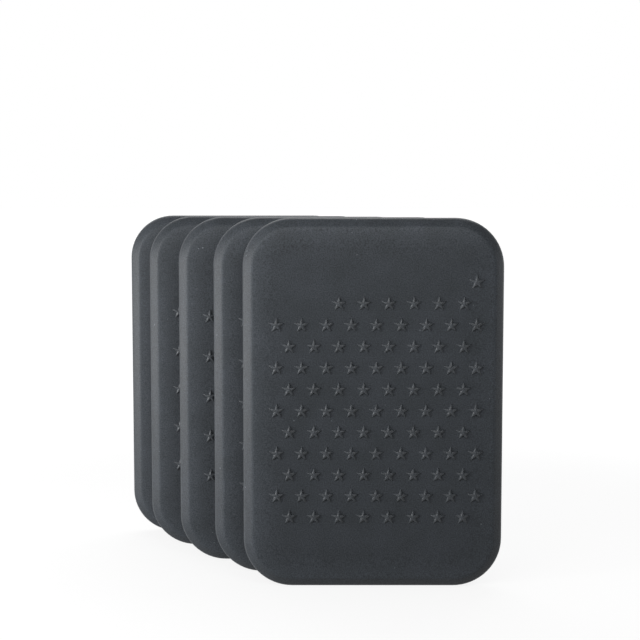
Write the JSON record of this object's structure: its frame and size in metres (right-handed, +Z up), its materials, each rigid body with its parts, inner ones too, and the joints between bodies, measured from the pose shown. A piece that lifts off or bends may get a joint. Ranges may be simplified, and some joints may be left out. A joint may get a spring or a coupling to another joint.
{
  "type": "pin badge board set",
  "caption": "Set of moulded dark foam pin badge boards standing in a staggered row, each with round corners, a bevelled rim and a field of raised stars on its front face.",
  "frame": {"origin": "on the surface the boards stand on, under the middle of the whole row", "axes": "+X to the right as the star faces are seen, +Y from the star faces towards the back of the row, +Z up"},
  "size_m": [0.2064, 0.1326, 0.1905],
  "materials": {
    "eva_foam": "matte, fine-grained foam skin",
    "stiffener_plastic": "plain matte sheet"
  },
  "bodies": {
    "board_1": {"front_moulding_1": "eva_foam", "stiffener_sheet_1": "stiffener_plastic", "back_moulding_1": "eva_foam"},
    "board_2": {"front_moulding_2": "eva_foam", "stiffener_sheet_2": "stiffener_plastic", "back_moulding_2": "eva_foam"},
    "board_3": {"front_moulding_3": "eva_foam", "stiffener_sheet_3": "stiffener_plastic", "back_moulding_3": "eva_foam"},
    "board_4": {"front_moulding_4": "eva_foam", "stiffener_sheet_4": "stiffener_plastic", "back_moulding_4": "eva_foam"},
    "board_5": {"front_moulding_5": "eva_foam", "stiffener_sheet_5": "stiffener_plastic", "back_moulding_5": "eva_foam"}
  },
  "joints": [
    {"name": "board_2_draw_out", "type": "slide", "parent": "board_1", "child": "board_2", "axis": [-1, 0, 0], "range_m": [0, 0.15]},
    {"name": "board_3_draw_out", "type": "slide", "parent": "board_1", "child": "board_3", "axis": [-1, 0, 0], "range_m": [0, 0.15]},
    {"name": "board_4_draw_out", "type": "slide", "parent": "board_1", "child": "board_4", "axis": [-1, 0, 0], "range_m": [0, 0.15]},
    {"name": "board_5_draw_out", "type": "slide", "parent": "board_1", "child": "board_5", "axis": [-1, 0, 0], "range_m": [0, 0.15]}
  ]
}
